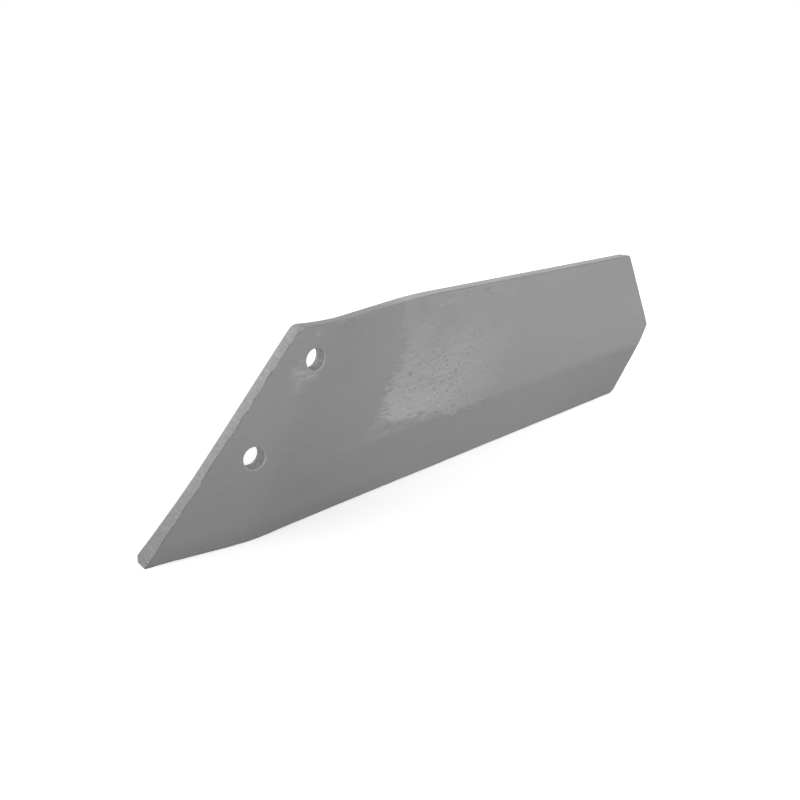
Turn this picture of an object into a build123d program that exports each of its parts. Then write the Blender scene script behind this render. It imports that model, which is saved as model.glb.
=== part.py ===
"""Side share: one hot-formed plate of flat bar steel, standing on its long cutting edge.

The share is made the way the real one is: a length of flat bar is sheared on the slant at one end
and to a blunt point at the other, two bolt holes are punched beside the slanted end, and the hot
blank is pressed so that the wing turns back from the mounting flange and takes a lengthwise ridge.

Frame, in millimetres: +X runs along the share from the tip, +Y points to its back and +Z up. The
origin is the middle of the bolt pattern on the back face of the mounting flange.
"""
import os
from math import cos, radians, sin, tan

from build123d import *

# Flat bar
bar_width = 120.0
bar_thickness = 10.0

# Slanted mounting end, sheared across the bar
end_angle = 51.5  # between the slanted end and the lower edge
end_shear_lean = 5.0  # degrees that the sheared face leans in towards the back
tip_flare = 2.5  # how far the back of the sheared face stands out at the tip
tip_flare_length = 65.0  # along the end from the tip
nose_flat = 0.6  # how far the sharp tip is cut back
shoulder_radius = 6.0  # upper corner of the slanted end

# Bolt holes in the flange, in a row beside the slanted end
bolt_hole_diameter = 13.0
bolt_spacing = 65.0
bolt_to_end = 21.5  # hole centres to the slanted end
bolt_to_top = 20.0  # upper hole's centre to the upper edge
hole_lip_radius = 0.8  # rounded mouth on the front

# Bend from the flange into the wing, its line slanted like the end; distances run from the tip
bend_lower_run = 62.0
bend_upper_run = 120.5
lower_bend_radius = 90.0
upper_bend_radius = 40.0

# Where the bend ends and the straight wing begins
wing_lower_run = 125.5
wing_upper_run = 213.5
settle_radius = 95.0

# Headings seen from above, in degrees towards the back
wing_heading = 14.0
lower_bend_heading = 14.7
ridge_bend_heading = 14.2
upper_bend_heading = 25.4

# Ridge along the wing
ridge_height = 34.0  # above the lower edge, where the wing begins
ridge_rise = 6.0  # gained from there to the tail
ridge_rise_run = 350.0
ridge_fade = 0.35  # degrees by which the ridge turns back towards the tail, and so fades

# Tail, sheared to a blunt point; runs are along the wing from the lower bend corner
tail_point_run = 483.5
tail_point_height = 54.0
tail_lower_setback = 57.0
tail_upper_setback = 34.0
tail_lower_corner_radius = 9.0
tail_upper_corner_radius = 5.0
tail_point_radius = 2.0

# Spare length of the formed bar, and spare reach of the cuts that trim it
overlength = 30.0
cut_spare = 5.0

# An edge crosses the thickness if at least this share of its direction points back
crossing_share = 0.7

# Bolt pattern, first measured from the sharp tip on the lower edge
end_direction = Vector(cos(radians(end_angle)), sin(radians(end_angle)))
end_inward = Vector(sin(radians(end_angle)), -cos(radians(end_angle)))
upper_hole_along = (bar_width - bolt_to_top + bolt_to_end * end_direction.X) / end_direction.Y
pattern_centre = end_direction * (upper_hole_along - bolt_spacing / 2) + end_inward * bolt_to_end

# The same places from the part's origin
tip_x = -pattern_centre.X
lower_z = -pattern_centre.Y
front_y = -bar_thickness
bend_lean = (bend_upper_run - bend_lower_run) / bar_width
wing_lean = (wing_upper_run - wing_lower_run) / bar_width
ridge_start_run = wing_lower_run + wing_lean * ridge_height
bend_corner = Vector(tip_x + bend_lower_run, front_y, lower_z)
shoulder = Vector(tip_x + bar_width / tan(radians(end_angle)), front_y, lower_z + bar_width)
wing_direction = Vector(cos(radians(wing_heading)), sin(radians(wing_heading)), 0)
wing_plane = Plane(origin=bend_corner, x_dir=wing_direction, z_dir=wing_direction.cross(Vector(0, 0, 1)))
formed_run = bend_lower_run + (tail_point_run + overlength) * wing_direction.X

# Level planes through the lower edge, the ridge and the upper edge
ridge_slope = ridge_rise / ridge_rise_run
lower_plane = Plane.XY.offset(lower_z)
upper_plane = Plane.XY.offset(lower_z + bar_width)
ridge_plane = Plane(
    origin=(0, 0, lower_z + ridge_height - ridge_slope * (tip_x + ridge_start_run)),
    x_dir=(1, 0, ridge_slope),
    z_dir=(-ridge_slope, 0, 1),
)


def bend_start(height, bend_heading, bend_radius):
    """Where the bend begins at one height, along the share from the part's origin."""
    bend_run = bend_lower_run + bend_lean * height
    return tip_x + bend_run - bend_radius * tan(radians(bend_heading / 2))


def wing_seen_from_above(height, bend_heading, end_heading, bend_radius):
    """Draw the formed bar at one height: bend, slope, settling bend and wing, one thickness wide."""
    settle_turn = bend_heading - end_heading
    bend_run = bend_lower_run + bend_lean * height
    wing_run = wing_lower_run + wing_lean * height
    corner_to_corner = (wing_run - bend_run) / cos(radians(bend_heading))
    bend_share = bend_radius * tan(radians(bend_heading / 2))
    settle_share = settle_radius * tan(radians(settle_turn / 2))
    with BuildLine() as outline:
        start = (bend_start(height, bend_heading, bend_radius), front_y)
        bend = JernArc(start, (1, 0), bend_radius, bend_heading)
        slope = PolarLine(bend @ 1, corner_to_corner - bend_share - settle_share, direction=bend % 1)
        settle = JernArc(slope @ 1, slope % 1, settle_radius, -settle_turn)
        wing_reach = tip_x + formed_run - (settle @ 1).X
        PolarLine(settle @ 1, wing_reach, direction=settle % 1, length_mode=LengthMode.HORIZONTAL)
        offset(amount=bar_thickness, side=Side.LEFT)
    make_face(outline.edges())


def slanted_cut(depth):
    """Corners of the cut that shears the slanted end, at one depth behind the front face."""
    inset = end_inward * depth * tan(radians(end_shear_lean))
    flare = end_inward * -depth * tip_flare / bar_thickness
    tip = Vector(tip_x, lower_z)
    top = lower_z + bar_width + overlength
    left = tip_x - overlength - bar_thickness
    return [
        tip + flare,
        tip + end_direction * tip_flare_length + inset,
        tip + end_direction * (top - lower_z) / end_direction.Y + inset,
        Vector(left, top),
        Vector(left, lower_z - overlength),
        Vector((tip + flare).X, lower_z - overlength),
    ]


with BuildPart() as side_share:
    # Flat flange, which ends on the slanted line where the bend begins
    lower_start = bend_start(0, lower_bend_heading, lower_bend_radius)
    upper_start = bend_start(bar_width, upper_bend_heading, upper_bend_radius)
    ridge_local_start = bend_start(ridge_height, ridge_bend_heading, upper_bend_radius)
    ridge_start = ridge_plane.from_local_coords(Vector(ridge_local_start, front_y))
    with BuildSketch(Plane.XZ.offset(-front_y)):
        with BuildLine():
            Polyline(
                (tip_x - overlength, lower_z),
                (lower_start, lower_z),
                (ridge_start.X, ridge_start.Z),
                (upper_start, lower_z + bar_width),
                (tip_x - overlength, lower_z + bar_width),
                close=True,
            )
        make_face()
    extrude(amount=-bar_thickness)

    # Formed bar: three outlines seen from above, joined by straight lines up the face
    with BuildSketch(lower_plane):
        wing_seen_from_above(0, lower_bend_heading, wing_heading, lower_bend_radius)
    with BuildSketch(ridge_plane):
        wing_seen_from_above(
            ridge_height, ridge_bend_heading, wing_heading + ridge_fade, upper_bend_radius
        )
    with BuildSketch(upper_plane):
        wing_seen_from_above(bar_width, upper_bend_heading, wing_heading, upper_bend_radius)
    loft(ruled=True)

    # Slanted end: the sheared face leans in towards the back, and flares out near the tip
    for depth in (-cut_spare, bar_thickness + cut_spare):
        with BuildSketch(Plane.XZ.offset(-front_y - depth)):
            with BuildLine():
                Polyline(*slanted_cut(depth), close=True)
            make_face()
    loft(ruled=True, mode=Mode.SUBTRACT)

    # Blunt nose
    with BuildSketch(Plane.XZ.offset(-front_y)):
        with Locations((tip_x + nose_flat, lower_z)):
            Rectangle(overlength, overlength, align=(Align.MAX, Align.CENTER))
    extrude(amount=-bar_thickness, mode=Mode.SUBTRACT)

    # Tail point
    with BuildSketch(wing_plane):
        with BuildLine():
            Polyline(
                (tail_point_run - tail_lower_setback, 0),
                (tail_point_run, tail_point_height),
                (tail_point_run - tail_upper_setback, bar_width),
                (tail_point_run - tail_upper_setback, bar_width + overlength),
                (tail_point_run + 2 * overlength, bar_width + overlength),
                (tail_point_run + 2 * overlength, -overlength),
                (tail_point_run - tail_lower_setback, -overlength),
                close=True,
            )
        make_face()
    extrude(amount=bar_thickness + overlength, both=True, mode=Mode.SUBTRACT)

    # Rounded corners, each on the short edge that stands nearest its place
    lower_corner = Vector(tail_point_run - tail_lower_setback, 0)
    upper_corner = Vector(tail_point_run - tail_upper_setback, bar_width)
    tail_point = Vector(tail_point_run, tail_point_height)
    corners = [
        (shoulder, shoulder_radius),
        (wing_plane.from_local_coords(lower_corner), tail_lower_corner_radius),
        (wing_plane.from_local_coords(upper_corner), tail_upper_corner_radius),
        (wing_plane.from_local_coords(tail_point), tail_point_radius),
    ]
    for place, radius in corners:
        crossing_edges = side_share.edges().filter_by(lambda edge: abs((edge % 0.5).Y) > crossing_share)
        fillet(crossing_edges.sort_by_distance(place)[0], radius)

    # Bolt holes, square to the flange, with a rounded mouth on the front
    with Locations(Plane.XZ):
        with Locations(end_direction * (bolt_spacing / 2), end_direction * (-bolt_spacing / 2)):
            Hole(radius=bolt_hole_diameter / 2)
    hole_walls = side_share.faces(Select.LAST).filter_by(GeomType.CYLINDER)
    hole_rims = hole_walls.edges().filter_by(GeomType.LINE, reverse=True)
    fillet(hole_rims.filter_by_position(Axis.Y, 2 * front_y, front_y / 2), hole_lip_radius)

side_share.part.label = "side_share"

os.makedirs("parts", exist_ok=True)
export_step(side_share.part, "parts/side_share.step")
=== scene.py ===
"""Looks of the side share: its formed plate in a worn satin coat, on a pale floor in soft light.

The part's own frame is kept: X runs along the share from its sharp tip, Y points to its back and Z is
up. Shapes are worked out in millimetres, measured from the sharp tip on the front face at the lower
edge, and reach Blender in metres from the middle of the bolt pattern.
"""
from __future__ import annotations

import logging
from dataclasses import dataclass, field
from enum import Enum, IntEnum
from math import ceil, cos, hypot, pi, radians, sin, tan
from typing import NamedTuple

import bpy
import numpy as np
from mathutils import Matrix, Vector

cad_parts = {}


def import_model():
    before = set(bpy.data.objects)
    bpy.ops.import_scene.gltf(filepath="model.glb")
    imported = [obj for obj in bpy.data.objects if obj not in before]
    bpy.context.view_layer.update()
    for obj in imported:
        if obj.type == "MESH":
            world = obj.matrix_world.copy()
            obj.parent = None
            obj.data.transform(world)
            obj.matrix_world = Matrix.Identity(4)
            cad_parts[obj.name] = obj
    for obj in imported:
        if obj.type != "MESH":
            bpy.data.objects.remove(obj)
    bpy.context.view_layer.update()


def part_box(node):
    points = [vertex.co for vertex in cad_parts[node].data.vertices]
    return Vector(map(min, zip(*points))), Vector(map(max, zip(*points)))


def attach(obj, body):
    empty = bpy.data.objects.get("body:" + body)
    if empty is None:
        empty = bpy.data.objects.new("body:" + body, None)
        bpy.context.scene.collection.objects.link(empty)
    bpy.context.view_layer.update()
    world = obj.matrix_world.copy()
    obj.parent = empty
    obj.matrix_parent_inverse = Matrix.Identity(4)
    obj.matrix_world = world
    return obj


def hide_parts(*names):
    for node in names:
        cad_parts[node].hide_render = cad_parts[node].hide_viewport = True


LOG = logging.getLogger("side_share")
MM = 0.001
NODE = "side_share"
BODY = "root"

Array = np.ndarray
Socket = bpy.types.NodeSocket
Value = Socket | float
Span = tuple[float, float]


class Mask(Enum):
    """Numbers that the mesh carries for its coat, one for each vertex."""

    MARGIN = "margin_mm"
    SHEAR = "shear_face"
    PATCH = "forge_patch_mm"
    RIDGE = "above_ridge_mm"
    FOOT = "above_wing_foot_mm"
    SCUFF = "rubbed_spot"
    HOLE = "hole_wall"


class Seed(IntEnum):
    """Seeds of the noises that shape the plate. Each octave of a noise adds one to its seed."""

    WAVE = 11
    HAMMER = 23
    PIT = 37
    BACK = 51
    NICK = 71
    CHIP = 75
    RIPPLE = 83


@dataclass(frozen=True)
class BarSizes:
    """Sizes of the formed plate in millimetres and degrees.

    They are the CAD part's own, apart from the two bends at the upper edge, the tail's lower corner
    and the holes' mouths, which are up to a millimetre softer here, and the softness of the ridge and
    the rounding of the nose, which are for the looks alone.
    """

    width: float = 120.0
    thickness: float = 10.0
    end_angle: float = 51.5
    nose_flat: float = 0.6
    shoulder_radius: float = 6.0
    bend_lower_run: float = 62.0
    bend_upper_run: float = 120.5
    lower_bend_radius: float = 90.0
    ridge_bend_radius: float = 40.0
    upper_bend_radius: float = 75.0
    wing_lower_run: float = 125.5
    wing_upper_run: float = 213.5
    settle_radius: float = 95.0
    upper_settle_radius: float = 210.0
    wing_heading: float = 14.0
    lower_bend_heading: float = 14.7
    ridge_bend_heading: float = 14.2
    upper_bend_heading: float = 25.4
    ridge_height: float = 34.0
    ridge_rise: float = 6.0
    ridge_rise_run: float = 350.0
    ridge_fade: float = 0.35
    ridge_softness: float = 3.0
    tail_point_run: float = 483.5
    tail_point_height: float = 54.0
    tail_lower_setback: float = 57.0
    tail_upper_setback: float = 34.0
    tail_lower_radius: float = 18.0
    tail_upper_radius: float = 5.0
    tail_point_radius: float = 2.0
    hole_diameter: float = 13.0
    hole_spacing: float = 65.0
    hole_to_end: float = 21.5
    hole_to_top: float = 20.0
    hole_lip: float = 1.2
    hole_back_lip: float = 0.35
    nose_radius: float = 0.25

    def end_direction(self) -> Array:
        """Unit direction up the slanted end."""
        return np.array([cos(radians(self.end_angle)), sin(radians(self.end_angle))])

    def end_inward(self) -> Array:
        """Unit direction from the slanted end into the plate."""
        along = self.end_direction()
        return np.array([along[1], -along[0]])

    def pattern_centre(self) -> Array:
        """Middle of the two bolt holes, as run from the tip and height."""
        along = self.end_direction()
        upper = (self.width - self.hole_to_top + self.hole_to_end * along[0]) / along[1]
        return along * (upper - self.hole_spacing / 2) + self.end_inward() * self.hole_to_end

    def hole_centres(self) -> list[Array]:
        """Centres of the lower and the upper bolt hole."""
        middle, half = self.pattern_centre(), self.hole_spacing / 2
        return [middle + self.end_direction() * side * half for side in (-1, 1)]


@dataclass(frozen=True)
class FormedLine:
    """One line along the formed plate, seen from above: flat, bend, slope, settling bend and wing."""

    bend_run: float
    wing_run: float
    bend_heading: float
    end_heading: float
    bend_radius: float
    settle_radius: float
    reach: float = 90.0
    wing_length: float = 420.0

    def at(self, station: Array, depth: Array) -> tuple[Array, Array]:
        """Place of the line at a station from 0 to 5, pushed in by a depth square to it.

        Each of the five lengths adds its own share of the way: a straight one its length times the
        cosine and sine of its heading, a bend the sines and cosines of the headings at its two ends.

        Args:
            station: 0 to 1 along the flat, 1 to 2 round the bend, and so on to 5 at the wing's end.
            depth: distance behind the front face.

        Returns:
            Run from the tip, and distance to the back.
        """
        bend, settle = radians(self.bend_heading), radians(self.bend_heading - self.end_heading)
        before = self.bend_radius * tan(bend / 2)
        after = self.settle_radius * tan(settle / 2)
        slope = (self.wing_run - self.bend_run) / cos(bend) - before - after
        parts = [np.clip(station - start, 0.0, 1.0) for start in range(5)]
        turn, ease = bend * parts[1], bend - settle * parts[3]
        last = bend - settle
        run = (
            self.bend_run - before - self.reach * (1 - parts[0])
            + self.bend_radius * np.sin(turn)
            + slope * cos(bend) * parts[2]
            + self.settle_radius * (sin(bend) - np.sin(ease))
            + self.wing_length * cos(last) * parts[4]
        )
        back = (
            self.bend_radius * (1 - np.cos(turn))
            + slope * sin(bend) * parts[2]
            + self.settle_radius * (np.cos(ease) - cos(bend))
            + self.wing_length * sin(last) * parts[4]
        )
        heading = turn - settle * parts[3]
        return run - depth * np.sin(heading), back + depth * np.cos(heading)


def smooth_step(value: Array, low: float, high: float) -> Array:
    """Ease from 0 at low to 1 at high, by three times the square less twice the cube."""
    share = np.clip((value - low) / (high - low), 0.0, 1.0)
    return share * share * (3.0 - 2.0 * share)


def lattice_noise(across: Array, up: Array, seed: int) -> Array:
    """Smooth noise from 0 to 1: seeded random numbers on a unit lattice, eased between its corners.

    Args:
        across: first coordinate in cells.
        up: second coordinate in cells.
        seed: picks the random numbers.

    Returns:
        Noise of the same shape as the coordinates.
    """
    size = 256
    table = np.random.default_rng(seed).random((size, size))
    i, j = np.floor(across).astype(int), np.floor(up).astype(int)
    s, t = across - i, up - j
    s, t = s * s * (3 - 2 * s), t * t * (3 - 2 * t)

    def row(k: Array) -> Array:
        """Random numbers in one row of the lattice, eased along it."""
        return table[i % size, k % size] * (1 - s) + table[(i + 1) % size, k % size] * s

    return row(j) * (1 - t) + row(j + 1) * t


def rough_noise(across: Array, up: Array, cell: float, octaves: int, seed: int) -> Array:
    """Sum of smooth noises, each half as wide and half as strong as the one before, from 0 to 1."""
    total, weight = np.zeros(np.broadcast(across, up).shape), 0.0
    for octave in range(octaves):
        scale, share = 2.0**octave / cell, 0.5**octave
        total = total + share * lattice_noise(across * scale, up * scale, seed + octave)
        weight += share
    return total / weight


@dataclass(frozen=True)
class Dent:
    """A shallow round dent in the front face, placed by run and height, in millimetres."""

    run: float
    height: float
    radius: float
    depth: float


@dataclass(frozen=True)
class Scuff:
    """A rubbed spot on the front face, pale or, with a strength below zero, dark; in millimetres."""

    run: float
    height: float
    half_run: float
    half_height: float
    strength: float


@dataclass(frozen=True)
class Wear:
    """Dents, waves, nicks and scuffs on the plate, in millimetres.

    Tops are the values of a noise between which a mark grows from nothing to its full depth. Starts
    and ends are distances past the worn wing's start, the wing's foot is measured above the ridge, and
    the quiet nose is measured from the tip.
    """

    wave_cell: float = 30.0
    wave_stretch: float = 0.7
    wave_depth: float = 0.22
    hammer_cell: float = 7.0
    hammer_stretch: float = 0.6
    hammer_depth: float = 0.10
    hammer_on_flange: float = 0.25
    pit_cell: float = 3.2
    pit_stretch: float = 0.8
    pit_tops: Span = (0.62, 0.86)
    pit_depth: float = 0.28
    pit_wing_share: float = 0.5
    back_depth: float = 0.12
    wing_start: Span = (-8.0, 10.0)
    wing_foot: Span = (-2.0, 6.0)
    foot_start: Span = (-10.0, 10.0)
    foot_middle: float = 1.0
    foot_reach: float = 5.0
    worn_end: Span = (50.0, 140.0)
    nick_cell: float = 4.5
    nick_tops: Span = (0.55, 0.90)
    chip_cell: float = 11.0
    chip_tops: Span = (0.45, 0.80)
    chip_share: float = 0.8
    nick_depth: float = 0.9
    nick_reach: float = 3.0
    nick_elsewhere: float = 0.25
    end_run: float = 110.0
    edge_run_share: float = 0.62
    ripple_cell: float = 2.1
    ripple_length: float = 6.0
    ripple_slant: float = 0.9
    ripple_depth: float = 0.10
    ripple_elsewhere: float = 0.35
    quiet_nose: Span = (1.0, 7.0)
    dents: tuple[Dent, ...] = ()
    scuffs: tuple[Scuff, ...] = ()


class FormedBar:
    """The whole formed plate as one surface: a place on it for each run, height and depth."""

    HALVINGS = 26
    ALONG_WING = (235.0, 300.0)
    PATCH_HEIGHTS = (34.0, 43.5, 48.0, 60.0, 69.0, 76.0, 82.0, 92.0, 108.0, 120.0)
    PATCH_RUNS = (158.0, 161.5, 172.5, 174.0, 177.5, 185.0, 190.5, 192.5, 191.0, 194.0)
    FOOT_RUNS = (160.0, 172.0, 186.0, 206.0, 227.0, 238.0)
    FOOT_HEIGHTS = (12.5, 12.0, 9.0, 8.0, 4.0, 0.0)

    def __init__(self, sizes: BarSizes, wear: Wear) -> None:
        """Draw the three lines that carry the plate: lower edge, ridge and upper edge."""
        self.sizes, self.wear = sizes, wear
        s = sizes
        self.bend_lean = (s.bend_upper_run - s.bend_lower_run) / s.width
        self.wing_lean = (s.wing_upper_run - s.wing_lower_run) / s.width
        self.lines = (
            self.line(0.0, s.lower_bend_heading, 0.0, s.lower_bend_radius, s.settle_radius),
            self.line(
                s.ridge_height, s.ridge_bend_heading, s.ridge_fade, s.ridge_bend_radius, s.settle_radius
            ),
            self.line(s.width, s.upper_bend_heading, 0.0, s.upper_bend_radius, s.upper_settle_radius),
        )

    def line(
        self, height: float, heading: float, fade: float, bend_radius: float, settle: float
    ) -> FormedLine:
        """Line of the plate at one height, whose bends lie on the slanted bend lines.

        Args:
            height: height of the line above the lower edge.
            heading: heading between the two bends.
            fade: how much further than the wing the line turns back in the end.
            bend_radius: radius of the first bend.
            settle: radius of the second bend.

        Returns:
            The line.
        """
        s = self.sizes
        return FormedLine(
            bend_run=s.bend_lower_run + self.bend_lean * height,
            wing_run=s.wing_lower_run + self.wing_lean * height,
            bend_heading=heading,
            end_heading=s.wing_heading + fade,
            bend_radius=bend_radius,
            settle_radius=settle,
        )

    def ridge_at(self, run: Array) -> Array:
        """Height of the ridge: it rises evenly along the share."""
        s = self.sizes
        start = s.wing_lower_run + self.wing_lean * s.ridge_height
        return s.ridge_height + (run - start) * s.ridge_rise / s.ridge_rise_run

    def shares(self, run: Array, height: Array) -> tuple[Array, Array, Array]:
        """How much each of the three lines counts at a place; together they count one.

        They are even between the lines, and within the ridge's softness of the ridge a parabola
        takes the place of the corner.
        """
        s = self.sizes
        ridge = self.ridge_at(run)
        over = height - ridge
        soft = s.ridge_softness
        kink = np.where(np.abs(over) < soft, (over + soft) ** 2 / (4 * soft), np.maximum(over, 0.0))
        upper = kink / (s.width - ridge)
        lower = 1 - height / ridge + kink / ridge
        return lower, 1 - lower - upper, upper

    def wing_places(self, run: Array) -> Array:
        """Where places count along the wing instead of along X: none on the flange, all past the bends."""
        return smooth_step(run, *self.ALONG_WING)

    def place(self, run: Array, height: Array, depth: Array) -> Array:
        """Place of the bare plate, without wear.

        The station along the three lines is found by halving its range until the run that it gives
        is the run that is asked for. Past the bends the run counts along the wing, so that a cut at
        one run is square to the wing.

        Args:
            run: distance from the tip.
            height: distance above the lower edge.
            depth: distance behind the front face.

        Returns:
            Run, distance to the back and height, as rows of three.
        """
        run, height, depth = np.broadcast_arrays(run, height, depth)
        shares = self.shares(run, height)
        wing = radians(self.sizes.wing_heading)
        pull = self.wing_places(run) * sin(wing)

        def at(station: Array) -> tuple[Array, Array]:
            """Run and distance to the back at a station, shared out among the three lines."""
            spots = [line.at(station, depth) for line in self.lines]
            return tuple(sum(share * spot[k] for share, spot in zip(shares, spots)) for k in (0, 1))

        low, high = np.zeros(run.shape), np.full(run.shape, 5.0)
        for _ in range(self.HALVINGS):
            middle = (low + high) / 2
            x, y = at(middle)
            behind = y * cos(wing) - (x - self.sizes.bend_lower_run) * sin(wing)
            short = x + pull * behind < run
            low, high = np.where(short, middle, low), np.where(short, high, middle)
        x, y = at((low + high) / 2)
        return np.stack([x, y, height], axis=-1)

    def patch_distance(self, run: Array, height: Array) -> Array:
        """Distance along the share past the line where the wing settles, which leans with the bend."""
        return run - np.interp(height, self.PATCH_HEIGHTS, self.PATCH_RUNS)

    def foot_distance(self, run: Array, height: Array) -> Array:
        """Distance above the lower border of the worn wing, which leaves the ridge near the bend."""
        foot = np.interp(run, self.FOOT_RUNS, self.FOOT_HEIGHTS)
        return height - self.ridge_at(run) - foot

    def dent_at(self, run: Array, height: Array) -> Array:
        """How deep the front face is pushed in: broad waves, a hammered wing, scale pits and dents.

        Pits are the tops of a fine noise, most along the ridge and at the start of the wing, and each
        dent is a bell of its own depth and radius.
        """
        wear = self.wear
        past, foot = self.patch_distance(run, height), self.foot_distance(run, height)
        over = height - self.ridge_at(run)
        wing = smooth_step(past, *wear.wing_start) * smooth_step(over, *wear.wing_foot)
        near_foot = np.exp(-((foot - wear.foot_middle) / wear.foot_reach) ** 2)
        near_foot = near_foot * smooth_step(past, *wear.foot_start)
        worn = np.maximum(near_foot, wear.pit_wing_share * wing) * (1 - smooth_step(past, *wear.worn_end))
        depth = wear.wave_depth * rough_noise(run * wear.wave_stretch, height, wear.wave_cell, 2, Seed.WAVE)
        hammered = rough_noise(run * wear.hammer_stretch, height, wear.hammer_cell, 2, Seed.HAMMER)
        calm = wear.hammer_on_flange
        depth = depth + wear.hammer_depth * (calm + (1 - calm) * wing) * hammered
        pits = rough_noise(run * wear.pit_stretch, height, wear.pit_cell, 2, Seed.PIT)
        depth = depth + wear.pit_depth * smooth_step(pits, *wear.pit_tops) * worn
        for dent in wear.dents:
            away = ((run - dent.run) ** 2 + (height - dent.height) ** 2) / dent.radius**2
            depth = depth + dent.depth * np.exp(-away)
        return depth

    def scuff_at(self, run: Array, height: Array) -> Array:
        """How pale or, below zero, how dark the front is marked: each scuff is a bell."""
        pale = np.zeros(run.shape)
        for spot in self.wear.scuffs:
            away = ((run - spot.run) / spot.half_run) ** 2 + ((height - spot.height) / spot.half_height) ** 2
            pale = pale + spot.strength * np.exp(-away)
        return pale

    def worn_place(self, run: Array, height: Array, depth: Array) -> Array:
        """Place of the plate with its dents, which fade evenly from each face to the other."""
        share = depth / self.sizes.thickness
        back = self.wear.back_depth * rough_noise(run, height, self.wear.wave_cell, 3, Seed.BACK)
        moved = depth + (1 - share) * self.dent_at(run, height) - share * back
        return self.place(run, height, moved)


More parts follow.
